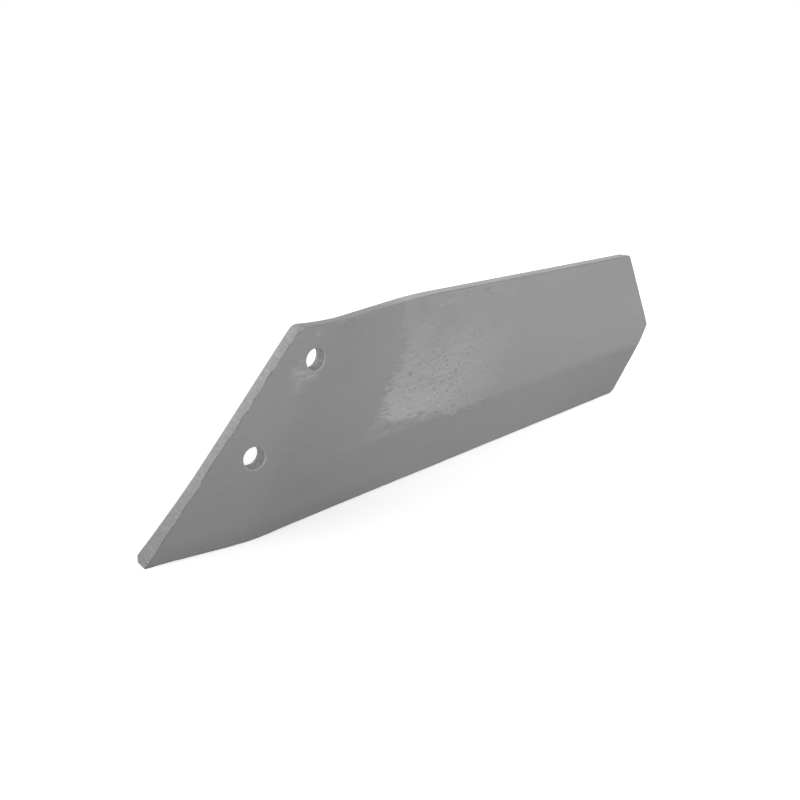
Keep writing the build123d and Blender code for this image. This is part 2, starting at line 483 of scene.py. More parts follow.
class PlateOutline:
    """The plate's outline seen from the front: rounded corners joined by straight runs.

    The corners go round against the clock from the sharp nose. The slanted end changes through the
    thickness, because its sheared face leans and flares.
    """

    NOSE, TAIL_LOW, TAIL_POINT, TAIL_HIGH, SHOULDER, NOSE_TOP = range(6)
    CORNERS = 6
    LONG_EDGES = (2 * NOSE + 1, 2 * TAIL_HIGH + 1)
    FLARE_ALONG = (0.0, 11.0, 23.0, 34.0, 46.0, 58.0, 70.0, 81.0, 105.0, 128.0, 153.0)
    FLARE_IN = (-2.45, -1.62, -0.82, -0.06, 0.55, 0.85, 0.9, 0.9, 0.8, 0.7, 0.75)
    CHORD_ENDS = (4.0, 148.0)
    WANDER_START = (3.0, 9.0)
    FAR = 1000.0

    def __init__(self, sizes: BarSizes) -> None:
        """Keep the sizes and work out the corners' radii."""
        self.sizes = s = sizes
        tail = (s.tail_lower_radius, s.tail_point_radius, s.tail_upper_radius)
        self.radii = np.array([s.nose_radius, *tail, s.shoulder_radius, s.nose_radius])

    def end_inset(self, along: Array, share: Array) -> Array:
        """How far the sheared face lies inside the front's slanted line, at a share of the thickness."""
        return share * np.interp(along, self.FLARE_ALONG, self.FLARE_IN)

    def corners(self, share: Array) -> Array:
        """Corners of the outline at shares of the thickness, as rows of six run and height pairs."""
        s = self.sizes
        wing = cos(radians(s.wing_heading))
        along, inward = s.end_direction(), s.end_inward()
        first, second = self.FLARE_IN[:2]
        rate = (second - first) / self.FLARE_ALONG[1]
        nose_along = (s.nose_flat - inward[0] * share * first) / (along[0] + inward[0] * share * rate)
        nose_height = nose_along * along[1] + inward[1] * share * (first + rate * nose_along)
        last = self.end_inset(np.array(self.FLARE_ALONG[-1]), share)
        shoulder = s.width / tan(radians(s.end_angle)) + last / inward[0]
        level = np.ones_like(share)
        setbacks = (s.tail_lower_setback, 0.0, s.tail_upper_setback)
        tail = [level * (s.bend_lower_run + wing * (s.tail_point_run - back)) for back in setbacks]
        runs = [s.nose_flat * level, *tail, shoulder, s.nose_flat * level]
        heights = [0 * level, 0 * level, *(level * high for high in (s.tail_point_height, s.width, s.width))]
        return np.stack([np.stack(runs, -1), np.stack([*heights, nose_height], -1)], axis=-1)

    def pieces(self, share: Array) -> tuple[Array, Array, Array, Array]:
        """Arcs of the outline: their start, middle, first angle and turn, for each share and corner."""
        corners = self.corners(share)
        ahead = np.roll(corners, -1, axis=1) - corners
        ahead = ahead / np.linalg.norm(ahead, axis=-1, keepdims=True)
        arriving = np.roll(ahead, 1, axis=1)
        turn = np.arctan2(
            arriving[..., 0] * ahead[..., 1] - arriving[..., 1] * ahead[..., 0],
            (arriving * ahead).sum(-1),
        )
        start = corners - arriving * (self.radii * np.tan(turn / 2))[..., None]
        inward = np.stack([-arriving[..., 1], arriving[..., 0]], -1)
        middle = start + inward * self.radii[..., None]
        first = np.arctan2(-inward[..., 1], -inward[..., 0])
        return start, middle, first, turn

    def stops(self, counts: tuple[int, int], turn_cost: float = 6.0) -> tuple[Array, Array]:
        """Spread the outline's points: evenly along the straight runs and closer round the corners.

        The four sides run between the middles of the nose, lower tail, upper tail and shoulder arcs.

        Args:
            counts: points along the share, and points up it.
            turn_cost: length that one radian of turn counts for.

        Returns:
            For each point the piece it lies on, arcs even and straight runs odd, and its share of it.
        """
        start, middle, first, turn = (value[0] for value in self.pieces(np.array([0.5])))
        angle = first + turn
        finish = middle + self.radii[:, None] * np.stack([np.cos(angle), np.sin(angle)], -1)
        straight = np.linalg.norm(np.roll(start, -1, axis=0) - finish, axis=-1)
        cost = np.stack([self.radii * turn + turn_cost * turn, straight], -1).ravel()
        total = np.concatenate([[0.0], np.cumsum(cost)])
        arcs = [self.NOSE, self.TAIL_LOW, self.TAIL_HIGH, self.SHOULDER]
        marks = [total[2 * arc] + cost[2 * arc] / 2 for arc in arcs]
        marks.append(marks[0] + total[-1])
        sides = [counts[0], counts[1], counts[0], counts[1]]
        spread = [
            np.linspace(low, high, count, endpoint=False)
            for low, high, count in zip(marks, marks[1:], sides)
        ]
        places = np.concatenate(spread) % total[-1]
        piece = np.searchsorted(total, places, side="right") - 1
        return piece, (places - total[piece]) / cost[piece]

    def points(self, stops: tuple[Array, Array], share: Array) -> tuple[Array, Array]:
        """Points of the outline and their outward directions at shares of the thickness.

        On an arc a point is the middle plus the radius along its angle. On a straight run it lies
        between the run's ends, and the slanted end adds its measured flare.

        Args:
            stops: piece and share of the piece for each point.
            share: shares of the thickness, one for each row.

        Returns:
            Rows of points and rows of outward directions.
        """
        piece, way = stops
        start, middle, first, turn = self.pieces(share)
        corner = piece // 2
        angle = first[:, corner] + turn[:, corner] * np.where(piece % 2 == 0, way, 1.0)
        out = np.stack([np.cos(angle), np.sin(angle)], -1)
        spot = middle[:, corner] + self.radii[corner][None, :, None] * out
        ahead = start[:, (corner + 1) % self.CORNERS]
        straight = (piece % 2 == 1)[None, :, None]
        spot = np.where(straight, spot + (ahead - spot) * way[None, :, None], spot)
        end = (piece == 2 * self.SHOULDER + 1)[None, :]
        return spot - out * np.where(end, self.end_wander(spot, share), 0.0)[..., None], out

    def end_wander(self, spot: Array, share: Array) -> Array:
        """How far the flared end leaves the straight line between its two corners."""
        low, high = self.CHORD_ENDS
        along = spot @ self.sizes.end_direction()
        inset = self.end_inset(along, share[:, None])
        way = np.clip((along - low) / (high - low), 0.0, 1.0)
        ends = [self.end_inset(np.array(end), share)[:, None] for end in self.CHORD_ENDS]
        chord = ends[0] * (1 - way) + ends[1] * way
        return (inset - chord) * smooth_step(along, *self.WANDER_START)

    def margin(self, run: Array, height: Array) -> Array:
        """Distance inside the nearest of the front outline's straight sides."""
        corners = self.corners(np.array([0.0]))[0]
        distance = np.full(np.broadcast(run, height).shape, self.FAR)
        for here, there in zip(corners, np.roll(corners, -1, axis=0)):
            way = (there - here) / hypot(*(there - here))
            distance = np.minimum(distance, way[0] * (height - here[1]) - way[1] * (run - here[0]))
        return distance


def closed_round(rows: Array) -> Array:
    """Rows of point numbers with the first column again at the end, so that they close."""
    return np.concatenate([rows, rows[:, :1]], axis=1)


@dataclass
class MeshSheet:
    """Points and faces that are gathered for one closed mesh."""

    points: list[Array] = field(default_factory=list)
    faces: list[Array] = field(default_factory=list)
    count: int = 0

    def add_points(self, places: Array) -> Array:
        """Add run, height and depth rows, and give their numbers in the same layout."""
        flat = places.reshape(-1, 3)
        numbers = np.arange(self.count, self.count + len(flat)).reshape(places.shape[:-1])
        self.points.append(flat)
        self.count += len(flat)
        return numbers

    def add_grid(self, numbers: Array, keep: Array | None = None, flip: bool = False) -> None:
        """Add the four-sided faces of a grid of point numbers.

        Args:
            numbers: point numbers, rows by columns.
            keep: for each cell, whether it gets a face.
            flip: turn the faces round.
        """
        quads = np.stack([numbers[:-1, :-1], numbers[:-1, 1:], numbers[1:, 1:], numbers[1:, :-1]], -1)
        quads = quads[keep] if keep is not None else quads.reshape(-1, 4)
        self.faces.append(quads[:, ::-1] if flip else quads)

    def finished(self) -> tuple[Array, Array, Array]:
        """Points that a face uses, faces by the points' new numbers, and the points' old numbers."""
        faces = np.concatenate(self.faces)
        used, new = np.unique(faces, return_inverse=True)
        return np.concatenate(self.points)[used], new.reshape(faces.shape), used


class Block(NamedTuple):
    """Rows and columns of a face's grid that make way for one bolt hole."""

    bottom: int
    top: int
    left: int
    right: int

    def rim(self) -> tuple[Array, Array]:
        """Rows and columns of the points round the block, against the clock."""
        bottom, top, left, right = self
        wide, tall = right - left, top - bottom
        rows = [np.full(wide, bottom), np.arange(bottom, top), np.full(wide, top), np.arange(top, bottom, -1)]
        columns = [np.arange(left, right), np.full(tall, right)]
        columns += [np.arange(right, left, -1), np.full(tall, left)]
        return np.concatenate(rows), np.concatenate(columns)


@dataclass(frozen=True)
class PlateDetail:
    """How finely the plate's mesh is divided, and how round its edges are, in millimetres."""

    along: int = 336
    up: int = 96
    rounding: int = 3
    through: int = 8
    ring_rows: int = 8
    long_edge: float = 1.1
    cut_edge: float = 0.55
    nose_edge: float = 0.18
    edge_blend: int = 9
    nose_blend: Span = (2.0, 16.0)
    ring_ease: float = 1.2
    lip_rows: int = 4
    wall_rows: int = 6
    smoothing: int = 80
    block_half_height: float = 12.0
    block_half_width: float = 13.5


def linked(name: str, data: bpy.types.ID) -> bpy.types.Object:
    """Object with the given data, linked to the scene."""
    made = bpy.data.objects.new(name, data)
    bpy.context.scene.collection.objects.link(made)
    return made


class SharePlate:
    """The share's one formed plate: front and back faces, edges all round and two bolt holes."""

    UNWORN = -200.0
    """Distance from the worn wing, in millimetres, that is carried on the plain back face."""
    BACK_ZONE = 0.01

    def __init__(self, sizes: BarSizes, wear: Wear, detail: PlateDetail) -> None:
        """Keep the sizes and prepare the outline's points."""
        self.sizes, self.wear, self.detail = sizes, wear, detail
        self.bar = FormedBar(sizes, wear)
        self.outline = PlateOutline(sizes)
        self.stops = self.outline.stops((detail.along, detail.up))

    def edge_rows(self) -> tuple[Array, Array]:
        """Rows of the plate's edge from the front face to the back face.

        The rows go a quarter turn round the front edge, straight through and a quarter turn round the
        back edge. The cut ends are nicked along the front and rippled through the thickness.

        Returns:
            Rows of run, height and depth, and for each point whether it is on a sheared face.
        """
        detail, thick = self.detail, self.sizes.thickness
        piece, _ = self.stops
        base, _ = self.outline.points(self.stops, np.array([0.0]))
        run, height = base[0, :, 0], base[0, :, 1]
        cut = ~np.isin(piece, self.outline.LONG_EDGES)
        edge = np.where(cut, detail.cut_edge, detail.long_edge)
        half = detail.edge_blend // 2
        kernel = np.ones(detail.edge_blend) / detail.edge_blend
        edge = np.convolve(np.concatenate([edge[-half:], edge, edge[:half]]), kernel, mode="valid")
        past_nose = smooth_step(np.hypot(run, height), *detail.nose_blend)
        edge = detail.nose_edge + (edge - detail.nose_edge) * past_nose
        quarter = np.linspace(0.0, pi / 2, detail.rounding + 1)
        front_depth = edge * (1 - np.cos(quarter))[:, None]
        front_inset = edge * (1 - np.sin(quarter))[:, None]
        share = np.linspace(0.0, 1.0, detail.through + 1)[1:-1, None]
        middle = edge + (thick - 2 * edge) * share
        depth = np.concatenate([front_depth, middle, thick - front_depth[::-1]])
        inset = np.concatenate([front_inset, np.zeros_like(middle), front_inset[::-1]])
        spot, out = self.outline.points(self.stops, np.linspace(0.0, 1.0, 2))
        way = (depth / thick)[..., None]
        spot, out = spot[0] * (1 - way) + spot[1] * way, out[0] * (1 - way) + out[1] * way
        inset = inset + self.edge_wear(run, height, depth, cut)
        spot = spot - out * inset[..., None]
        rows = np.concatenate([spot, depth[..., None]], axis=-1)
        return rows, np.broadcast_to(cut, depth.shape)

    def edge_wear(self, run: Array, height: Array, depth: Array, cut: Array) -> Array:
        """How far the edge is worn in: nicks that fade behind the front, and ripples on the cut ends.

        A nick is the top of a noise along the edge. A ripple is a noise that is long through the
        thickness and short along the edge, and slants as a shear drags it.
        """
        wear, thick = self.wear, self.sizes.thickness
        along = run * wear.edge_run_share + height
        slanted = cut & (run < wear.end_run)
        nick = smooth_step(rough_noise(along, 0 * along, wear.nick_cell, 2, Seed.NICK), *wear.nick_tops)
        chip = smooth_step(rough_noise(along, 0 * along, wear.chip_cell, 2, Seed.CHIP), *wear.chip_tops)
        nick = nick + wear.chip_share * chip
        nick = wear.nick_depth * nick * np.where(slanted, 1.0, wear.nick_elsewhere)
        fade = np.clip(1 - depth / wear.nick_reach, 0.0, 1.0)
        drag = along - wear.ripple_slant * depth
        ripple = rough_noise(drag, depth / wear.ripple_length, wear.ripple_cell, 3, Seed.RIPPLE)
        window = np.clip(depth, 0.0, 1.0) * np.clip(thick - depth, 0.0, 1.0)
        ripple = wear.ripple_depth * ripple * window * np.where(cut, 1.0, wear.ripple_elsewhere)
        return smooth_step(np.hypot(run, height), *wear.quiet_nose) * (nick * fade + ripple)

    def face_grid(self, loop: Array) -> Array:
        """Fill one face inside its loop of points.

        The grid starts as the sum of the straight fills between opposite sides less the fill between
        the four corners. Then each inner point moves again and again to the middle of its neighbours.

        Args:
            loop: run and height of the loop's points, against the clock from the nose.

        Returns:
            Grid of run and height, rows up the plate.
        """
        n, m = self.detail.along, self.detail.up
        low, right = loop[: n + 1], loop[n : n + m + 1]
        high = loop[n + m : 2 * n + m + 1][::-1]
        left = np.concatenate([loop[2 * n + m :], loop[:1]])[::-1]

        def ways(one: Array, other: Array) -> Array:
            """Mean share of the way along two opposite sides."""
            steps = [np.hypot(*np.diff(side, axis=0).T) for side in (one, other)]
            sums = [np.concatenate([[0], np.cumsum(step)]) for step in steps]
            return (sums[0] / sums[0][-1] + sums[1] / sums[1][-1]) / 2

        u, v = ways(low, high)[None, :, None], ways(left, right)[:, None, None]
        grid = (1 - v) * low + v * high + (1 - u) * left[:, None] + u * right[:, None]
        grid = grid - (1 - u) * ((1 - v) * low[0] + v * high[0]) - u * ((1 - v) * low[-1] + v * high[-1])
        for _ in range(self.detail.smoothing):
            inner = (grid[:-2, 1:-1] + grid[2:, 1:-1] + grid[1:-1, :-2] + grid[1:-1, 2:]) / 4
            grid[1:-1, 1:-1] = inner
        return grid

    def hole_block(self, grid: Array, centre: Array) -> Block:
        """Cells of a face's grid that make way for one bolt hole."""
        away = np.hypot(*(grid - centre).transpose(2, 0, 1))
        row, column = np.unravel_index(away.argmin(), away.shape)
        wide = np.hypot(*(grid[row, column + 1] - grid[row, column]))
        tall = grid[row + 1, column, 1] - grid[row, column, 1]
        columns = ceil(self.detail.block_half_width / wide)
        rows = ceil(self.detail.block_half_height / tall)
        return Block(row - rows, row + rows, column - columns, column + columns)

    def ring_points(self, rim: Array, centre: Array, radius: float) -> Array:
        """Rows of points from a circle round a hole's centre out to the rim of its block.

        On the circle the points are evenly spread, and on the way out their angle and distance ease
        to those of the rim's points.

        Args:
            rim: run and height of the rim's points, against the clock.
            centre: run and height of the hole's centre.
            radius: radius of the circle.

        Returns:
            Rows from the circle to the last one before the rim.
        """
        arm = rim - centre
        angle = np.unwrap(np.arctan2(arm[:, 1], arm[:, 0]))
        count = len(rim)
        even = np.linspace(0.0, 2 * pi, count, endpoint=False)
        even = even + (angle - even).mean()
        reach = np.hypot(arm[:, 0], arm[:, 1])
        way = np.linspace(0.0, 1.0, self.detail.ring_rows + 1)[:-1, None] ** self.detail.ring_ease
        turn = even * (1 - way) + angle * way
        span = radius * (1 - way) + reach * way
        return centre + span[..., None] * np.stack([np.cos(turn), np.sin(turn)], -1)

    def wall_profile(self) -> Array:
        """Depths of a hole's wall and how far it stands outside the hole's radius, from front to back."""
        lip, back_lip, thick = self.sizes.hole_lip, self.sizes.hole_back_lip, self.sizes.thickness
        quarter = np.linspace(0.0, pi / 2, self.detail.lip_rows + 1)[1:]
        sunk, wide = 1 - np.cos(quarter), 1 - np.sin(quarter)
        between = np.linspace(lip, thick - back_lip, self.detail.wall_rows + 2)[1:-1]
        front = np.stack([lip * sunk, lip * wide], -1)
        back = np.stack([thick - back_lip * sunk, back_lip * wide], -1)[::-1]
        return np.concatenate([front, np.stack([between, 0 * between], -1), back])

    def build_hole(
        self, sheet: MeshSheet, faces: list[tuple[Array, Array]], centre: Array, block: Block
    ) -> tuple[Array, Array]:
        """Add one bolt hole: a ring of faces on each side and the wall between them, with round lips.

        Args:
            sheet: mesh that gets the faces.
            faces: point numbers and run and height grids of the front and the back face.
            centre: run and height of the hole's centre.
            block: cells left out for the hole.

        Returns:
            Numbers of the wall's points, and how far each is past the front lip, from 0 to 1.
        """
        rows, columns = block.rim()
        radius, thick = self.sizes.hole_diameter / 2, self.sizes.thickness
        lips = (self.sizes.hole_lip, self.sizes.hole_back_lip)
        mouths, units = [], []
        for side, (numbers, grid) in enumerate(faces):
            ring = self.ring_points(grid[rows, columns], centre, radius + lips[side])
            depth = np.full(ring.shape[:-1] + (1,), (0.0, thick)[side])
            ring_numbers = sheet.add_points(np.concatenate([ring, depth], -1))
            fan = np.concatenate([ring_numbers, numbers[rows, columns][None]])
            sheet.add_grid(closed_round(fan), flip=side == 0)
            arm = ring[0] - centre
            mouths.append(ring_numbers[:1])
            units.append(arm / np.hypot(*arm.T)[:, None])
        profile = self.wall_profile()
        way = profile[:, 0, None, None] / thick
        unit = units[0] * (1 - way) + units[1] * way
        unit = unit / np.linalg.norm(unit, axis=-1, keepdims=True)
        wall = centre + unit * (radius + profile[:, 1])[:, None, None]
        depth = np.broadcast_to(profile[:, 0, None, None], wall.shape[:-1] + (1,))
        numbers = sheet.add_points(np.concatenate([wall, depth], -1))
        sheet.add_grid(closed_round(np.concatenate([mouths[0], numbers, mouths[1]])))
        return numbers, np.broadcast_to(np.clip(profile[:, :1] / lips[0], 0.0, 1.0), numbers.shape)

    def gather(self) -> tuple[Array, Array, Array, Array]:
        """Lay out the closed plate.

        Returns:
            Run, height and depth of each point, the faces, and how much of each point is on a
            sheared face and on a hole's wall.
        """
        rows, cut = self.edge_rows()
        sheet = MeshSheet()
        faces = []
        for side in (0, 1):
            grid = self.face_grid(rows[-side, :, :2])
            depth = np.full(grid.shape[:-1] + (1,), (0.0, self.sizes.thickness)[side])
            faces.append((sheet.add_points(np.concatenate([grid, depth], -1)), grid))
        keep = np.ones((self.detail.up, self.detail.along), bool)
        centres = self.sizes.hole_centres()
        blocks = [self.hole_block(faces[0][1], centre) for centre in centres]
        for block in blocks:
            keep[block.bottom : block.top, block.left : block.right] = False
        sheet.add_grid(faces[0][0], keep)
        sheet.add_grid(faces[1][0], keep, flip=True)
        walls = [self.build_hole(sheet, faces, centre, block) for centre, block in zip(centres, blocks)]
        band = sheet.add_points(rows[1:-1])
        rings = [
            np.concatenate([numbers[0, :-1], numbers[:-1, -1], numbers[-1, :0:-1], numbers[:0:-1, 0]])
            for numbers, _ in faces
        ]
        sheet.add_grid(closed_round(np.concatenate([rings[0][None], band, rings[1][None]])), flip=True)
        LOG.info("plate outline of %d points", band.shape[1])
        sheared = np.zeros(sheet.count)
        sheared[band.ravel()] = cut[1:-1].ravel()
        sheared[rings[0]] = 0.5 * cut[0]
        wall = np.zeros(sheet.count)
        for numbers, past_lip in walls:
            wall[numbers.ravel()] = past_lip.ravel()
        places, quads, used = sheet.finished()
        return places, quads, sheared[used], wall[used]

    def build(self) -> bpy.types.Object:
        """Make the plate's mesh, in metres from the middle of the bolt pattern.

        Returns:
            The plate's object, at the origin.
        """
        places, quads, sheared, wall = self.gather()
        run, height, depth = places.T
        spots = self.bar.worn_place(run, height, depth)
        middle = self.sizes.pattern_centre()
        spots = spots - np.array([middle[0], self.sizes.thickness, middle[1]])
        mesh = bpy.data.meshes.new("side_share_plate")
        mesh.from_pydata((spots * MM).tolist(), [], quads.tolist())
        mesh.validate()
        mesh.update()
        mesh.polygons.foreach_set("use_smooth", np.ones(len(mesh.polygons), bool))
        over = height - self.bar.ridge_at(run)
        back = depth > self.sizes.thickness - self.BACK_ZONE
        carried = {
            Mask.MARGIN: self.outline.margin(run, height),
            Mask.SHEAR: sheared,
            Mask.PATCH: np.where(back, self.UNWORN, self.bar.patch_distance(run, height)),
            Mask.RIDGE: over,
            Mask.FOOT: np.where(back, self.UNWORN, self.bar.foot_distance(run, height)),
            Mask.SCUFF: self.bar.scuff_at(run, height) * (depth < self.sizes.thickness / 2),
            Mask.HOLE: wall,
        }
        for mask, values in carried.items():
            layer = mesh.attributes.new(mask.value, "FLOAT", "POINT")
            layer.data.foreach_set("value", values.astype(np.float32))
        return linked("side_share_plate", mesh)


@dataclass(frozen=True)
class PhotoCamera:
    """The photograph's point of view, in metres and degrees, for a square picture."""

    place: tuple[float, float, float] = (-0.25208, -0.45913, 0.15712)
    heading: float = 36.337
    down: float = 16.397
    roll: float = 1.292
    lens: float = 43.269
    sensor: float = 36.0
    clip: Span = (0.01, 30.0)

    def build(self) -> bpy.types.Object:
        """Make the camera, which looks along its heading, turned from +Y towards +X, and down.

        Returns:
            The camera's object, which the scene uses.
        """
        heading, down, roll = radians(self.heading), radians(self.down), radians(self.roll)
        ahead = Vector((sin(heading) * cos(down), cos(heading) * cos(down), -sin(down)))
        level = Vector((cos(heading), -sin(heading), 0.0))
        above = level.cross(ahead)
        right = level * cos(roll) + above * sin(roll)
        above = above * cos(roll) - level * sin(roll)
        data = bpy.data.cameras.new("photo_camera")
        data.lens, data.sensor_width = self.lens, self.sensor
        data.clip_start, data.clip_end = self.clip
        camera = linked("photo_camera", data)
        turn = Matrix((right, above, -ahead)).transposed()
        camera.matrix_world = Matrix.Translation(self.place) @ turn.to_4x4()
        bpy.context.scene.camera = camera
        return camera


@dataclass(frozen=True)
class SoftLamp:
    """A square soft lamp: its place, what it faces, its width in metres and its power in watts."""

    name: str
    place: tuple[float, float, float]
    facing: tuple[float, float, float]
    width: float
    power: float

    def build(self) -> bpy.types.Object:
        """Make the lamp.

        Returns:
            The lamp's object.
        """
        data = bpy.data.lights.new(self.name, "AREA")
        data.shape, data.size, data.energy = "SQUARE", self.width, self.power
        lamp = linked(self.name, data)
        lamp.location = self.place
        lamp.rotation_mode = "QUATERNION"
        lamp.rotation_quaternion = (Vector(self.facing) - Vector(self.place)).to_track_quat("-Z", "Y")
        return lamp


class Easing(Enum):
    """How a value grows between two limits."""

    EVEN = "LINEAR"
    SMOOTH = "SMOOTHSTEP"


class Grain(Enum):
    """Noises on Object coordinates: their stretch along X, Y and Z, their scale and their detail."""

    CLOUD = ((0.6, 1.0, 1.0), 22.0, 4.0)
    DUST = ((1.0, 1.0, 1.0), 420.0, 2.0)
    PIT = ((0.62, 1.0, 1.0), 430.0, 3.0)
    PIT_FIELD = ((0.7, 1.0, 1.0), 70.0, 2.0)
    STREAK = ((0.16, 0.3, 1.0), 620.0, 2.0)
    EDGE_GAPS = ((1.0, 1.0, 1.0), 160.0, 3.0)
    DRAG = ((1.0, 0.12, 1.0), 1100.0, 3.0)
    SPECKLE = ((1.0, 1.0, 1.0), 620.0, 4.0)
    GLOSS = ((0.8, 1.0, 1.0), 55.0, 4.0)
    ARRIS_GAPS = ((1.0, 1.0, 1.0), 260.0, 3.0)
    SCUFF_GAPS = ((0.7, 1.0, 1.0), 420.0, 3.0)
    WRINKLE = ((0.75, 1.0, 1.0), 480.0, 3.0)
    FINE = ((1.0, 1.0, 1.0), 900.0, 3.0)
    PEEL = ((0.8, 1.0, 1.0), 180.0, 2.0)

    @property
    def scale(self) -> float:
        """Usual scale of the noise."""
        return self.value[1]


class NodeBoard:
    """Short hand for placing and joining shader nodes in one tree."""

    def __init__(self, tree: bpy.types.NodeTree) -> None:
        """Keep the tree."""
        self.tree = tree

    def node(self, kind: str, **settings: object) -> bpy.types.Node:
        """Place a node and give it its settings."""
        made = self.tree.nodes.new(kind)
        for name, value in settings.items():
            setattr(made, name, value)
        return made

    def put(self, target: Socket, value: Value | tuple[float, ...]) -> None:
        """Join an output to an input, or set the input if the value is a number or colour."""
        if isinstance(value, Socket):
            self.tree.links.new(value, target)
        else:
            target.default_value = value

    def math(self, operation: str, first: Value, second: Value, clamp: bool = False) -> Socket:
        """Result of one sum on sockets or numbers."""
        made = self.node("ShaderNodeMath", operation=operation, use_clamp=clamp)
        self.put(made.inputs[0], first)
        self.put(made.inputs[1], second)
        return made.outputs[0]

    def plus(self, first: Value, second: Value, clamp: bool = False) -> Socket:
        """First value plus the second."""
        return self.math("ADD", first, second, clamp)

    def minus(self, first: Value, second: Value) -> Socket:
        """First value less the second."""
        return self.math("SUBTRACT", first, second)

    def most(self, first: Value, second: Value) -> Socket:
        """Larger of two values."""
        return self.math("MAXIMUM", first, second)

    def times(self, first: Value, *others: Value) -> Socket:
        """Product of all the values."""
        for other in others:
            first = self.math("MULTIPLY", first, other)
        return first

    def ramp(
        self,
        value: Value,
        span: tuple[Value, Value],
        start: float = 0.0,
        end: float = 1.0,
        easing: Easing = Easing.SMOOTH,
    ) -> Socket:
        """Grow a value from start, at the span's first limit, to end, at its second."""
        made = self.node("ShaderNodeMapRange", interpolation_type=easing.value)
        names = ("Value", "From Min", "From Max", "To Min", "To Max")
        for name, number in zip(names, (value, *span, start, end)):
            self.put(made.inputs[name], number)
        return made.outputs["Result"]

    def fade(self, value: Value, span: tuple[Value, Value]) -> Socket:
        """Ease a value from 1, at the span's first limit, to 0, at its second."""
        return self.ramp(value, span, 1.0, 0.0)

    def noise(self, grain: Grain, scale: Socket | None = None) -> Socket:
        """Noise on stretched Object coordinates, from 0 to 1, at its usual scale or a given one."""
        stretch, usual, detail = grain.value
        mapping = self.node("ShaderNodeMapping")
        self.put(mapping.inputs["Scale"], stretch)
        self.put(mapping.inputs["Vector"], self.node("ShaderNodeTexCoord").outputs["Object"])
        made = self.node("ShaderNodeTexNoise")
        self.put(made.inputs["Vector"], mapping.outputs["Vector"])
        self.put(made.inputs["Scale"], usual if scale is None else scale)
        self.put(made.inputs["Detail"], detail)
        return made.outputs["Fac"]

    def centred(self, value: Socket) -> Socket:
        """Value from 0 to 1, moved to lie about none."""
        return self.minus(value, 0.5)

    def place(self, axis: str) -> Socket:
        """Object coordinate along one axis, in metres."""
        spot = self.node("ShaderNodeSeparateXYZ")
        self.put(spot.inputs[0], self.node("ShaderNodeTexCoord").outputs["Object"])
        return spot.outputs[axis]

    def carried(self, mask: Mask) -> Socket:
        """A number that the mesh carries."""
        return self.node("ShaderNodeAttribute", attribute_name=mask.value).outputs["Fac"]

    def effect(self, group: bpy.types.NodeTree, **values: Value) -> Socket:
        """Output of a shared effect, with some of its inputs given by name."""
        made = self.node("ShaderNodeGroup", node_tree=group)
        for name, value in values.items():
            self.put(made.inputs[name], value)
        return made.outputs[0]

    def seen(self) -> Socket:
        """Value that is 1 for a ray of the camera, of gloss or through glass, and 0 for other rays."""
        paths = self.node("ShaderNodeLightPath")
        value = paths.outputs["Is Camera Ray"]
        for kind in ("Is Glossy Ray", "Is Transmission Ray"):
            value = self.most(value, paths.outputs[kind])
        return value


